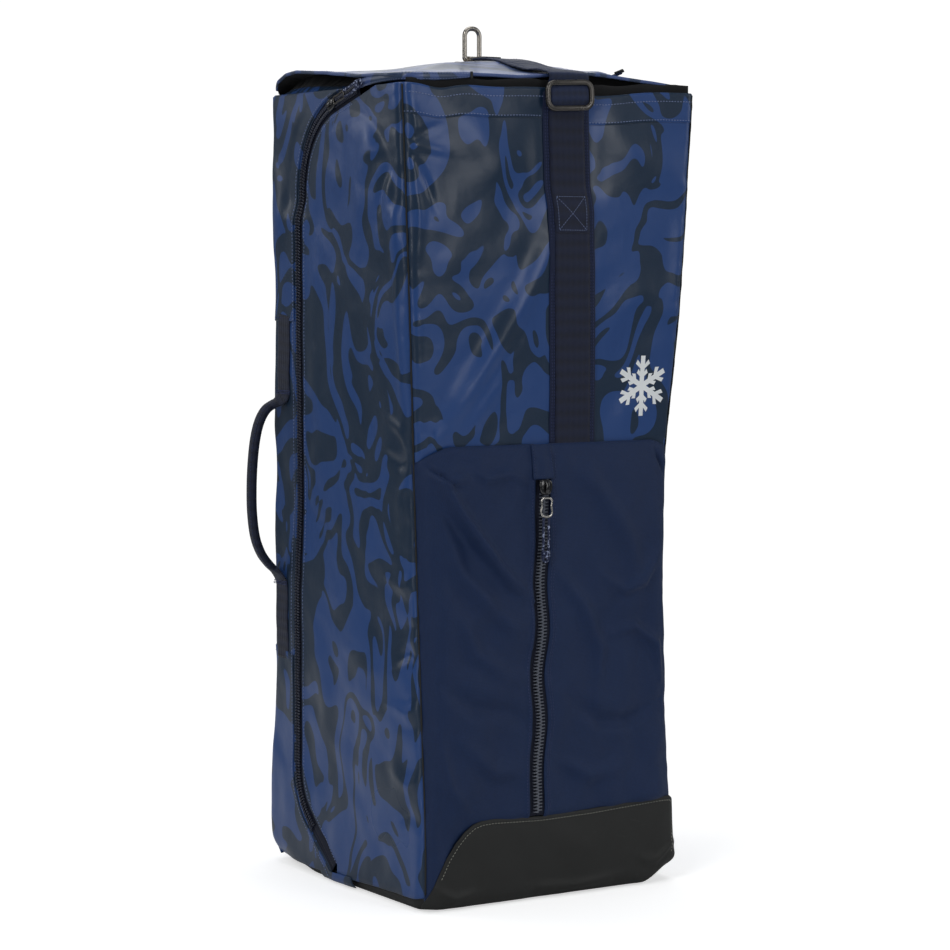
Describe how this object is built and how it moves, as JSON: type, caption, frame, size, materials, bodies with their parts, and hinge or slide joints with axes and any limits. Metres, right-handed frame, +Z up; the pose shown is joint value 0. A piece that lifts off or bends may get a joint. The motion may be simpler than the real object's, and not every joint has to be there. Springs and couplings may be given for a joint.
{
  "type": "ski bag",
  "caption": "Tall free-standing ski gear bag with a front flap on side zips, a front pocket, a lid strap with buckle, a side grip handle and a metal hang hook.",
  "frame": {"origin": "middle of the base's underside, on the surface that the bag stands on", "axes": "+Z up along the bag's height, -Y towards the front with the pocket and strap, +X towards the side without the handle"},
  "size_m": [0.3852, 0.3348, 0.8885],
  "materials": {
    "printed_coating": "coated fabric with a two-tone swirl print, satin",
    "pocket_fabric": "plain woven nylon",
    "black_tarpaulin": "matte coated tarpaulin",
    "lining": "plain black lining",
    "webbing": "ribbed navy webbing",
    "zip_tape": "woven zip tape",
    "zip_chain": "moulded zip teeth and coil",
    "slider_metal": "glossy black enamel",
    "pull_metal": "polished nickel",
    "buckle_metal": "satin gunmetal",
    "hook_metal": "polished nickel wire",
    "pull_cord": "navy cord with pale flecks",
    "board": "stiffener board",
    "white_print": "white screen print"
  },
  "bodies": {
    "shell": {"base_tray": "black_tarpaulin", "base_board": "board", "back_panel": "printed_coating", "back_stiffener": "board", "rear_side_panel_left": "printed_coating", "rear_side_panel_right": "printed_coating", "rear_rim_corner_left": "printed_coating", "rear_rim_corner_right": "printed_coating", "rear_zip_tape_left": "zip_tape", "rear_zip_tape_right": "zip_tape", "rear_zip_coil_left": "zip_chain", "rear_zip_coil_right": "zip_chain", "lid_panel": "printed_coating", "lid_skirt": "printed_coating", "lid_pull_tab": "webbing", "hook_plate": "hook_metal", "hook_rivets": "hook_metal", "handle_upper_webbing": "webbing", "handle_lower_webbing": "webbing"},
    "hook_bail": {"hook_bail": "hook_metal"},
    "handle": {"handle_grip": "webbing"},
    "front_flap": {"front_panel": "printed_coating", "front_gusset_left": "printed_coating", "front_gusset_right": "printed_coating", "front_zip_tape_left": "zip_tape", "front_zip_tape_right": "zip_tape", "front_zip_coil_left": "zip_chain", "front_zip_coil_right": "zip_chain", "front_rim_hem": "printed_coating", "rim_collar": "lining", "pocket_panel_left": "pocket_fabric", "pocket_panel_right": "pocket_fabric", "pocket_zip_tape_left": "zip_tape", "pocket_zip_tape_right": "zip_tape", "pocket_zip_teeth_left": "zip_chain", "pocket_zip_teeth_right": "zip_chain", "pocket_zip_cover": "pocket_fabric", "toe_panel": "black_tarpaulin", "strap_backing": "webbing", "strap_webbing": "webbing", "front_emblem": "white_print"},
    "lid_strap": {"lid_strap": "webbing", "strap_clip": "slider_metal"},
    "buckle": {"buckle_frame": "buckle_metal", "buckle_bar": "buckle_metal", "strap_fold": "webbing"},
    "pocket_slider": {"pocket_slider": "slider_metal"},
    "pocket_pull": {"pocket_pull": "pull_metal", "pocket_pull_cord": "pull_cord", "pocket_pull_knot": "pull_cord"},
    "side_slider_left": {"side_slider_left": "slider_metal"},
    "side_pull_left": {"side_pull_left": "pull_metal", "side_pull_cord_left": "pull_cord", "side_pull_knot_left": "pull_cord"},
    "side_slider_right": {"side_slider_right": "slider_metal"},
    "side_pull_right": {"side_pull_right": "pull_metal", "side_pull_cord_right": "pull_cord", "side_pull_knot_right": "pull_cord"}
  },
  "joints": [
    {"name": "front_flap_hinge", "type": "hinge", "parent": "shell", "child": "front_flap", "pos_m": [0, -0.152, 0.006], "axis": [1, 0, 0], "range_deg": [0, 86]},
    {"name": "strap_lift", "type": "hinge", "parent": "front_flap", "child": "lid_strap", "pos_m": [0.014, -0.157, 0.827], "axis": [1, 0, 0], "range_deg": [0, 170]},
    {"name": "buckle_slide", "type": "slide", "parent": "front_flap", "child": "buckle", "axis": [0.0457, 0.0232, -0.9987], "range_m": [0, 0.07]},
    {"name": "hook_fold", "type": "hinge", "parent": "shell", "child": "hook_bail", "pos_m": [0.005, 0.014, 0.853], "axis": [1, 0, 0], "range_deg": [-88, 0]},
    {"name": "handle_swing", "type": "hinge", "parent": "shell", "child": "handle", "pos_m": [-0.16332, 0.1375, 0.405], "axis": [-0.0405, -0.1085, 0.9933], "range_deg": [-75, 75]},
    {"name": "pocket_slider_travel", "type": "slide", "parent": "front_flap", "child": "pocket_slider", "axis": [-0.04, -0.0266, -0.9988], "range_m": [0, 0.31]},
    {"name": "pocket_pull_lift", "type": "hinge", "parent": "pocket_slider", "child": "pocket_pull", "pos_m": [-0.01138, -0.15269, 0.40764], "axis": [0.9992, -0.0011, -0.0399], "range_deg": [-120, 0]},
    {"name": "side_slider_travel_left", "type": "hinge", "parent": "shell", "child": "side_slider_left", "pos_m": [-0.17232, -0.042, 0.704], "axis": [-0.9987, 0, -0.0511], "range_deg": [0, 68]},
    {"name": "side_pull_lift_left", "type": "hinge", "parent": "side_slider_left", "child": "side_pull_left", "pos_m": [-0.18218, -0.02491, 0.80279], "axis": [0.0492, -0.2672, -0.9624], "range_deg": [0, 130]},
    {"name": "side_slider_travel_right", "type": "hinge", "parent": "shell", "child": "side_slider_right", "pos_m": [0.17232, -0.042, 0.704], "axis": [-0.9987, 0, 0.0511], "range_deg": [0, 68]},
    {"name": "side_pull_lift_right", "type": "hinge", "parent": "side_slider_right", "child": "side_pull_right", "pos_m": [0.18218, -0.02491, 0.80279], "axis": [0.0492, 0.2672, 0.9624], "range_deg": [0, 130]}
  ]
}
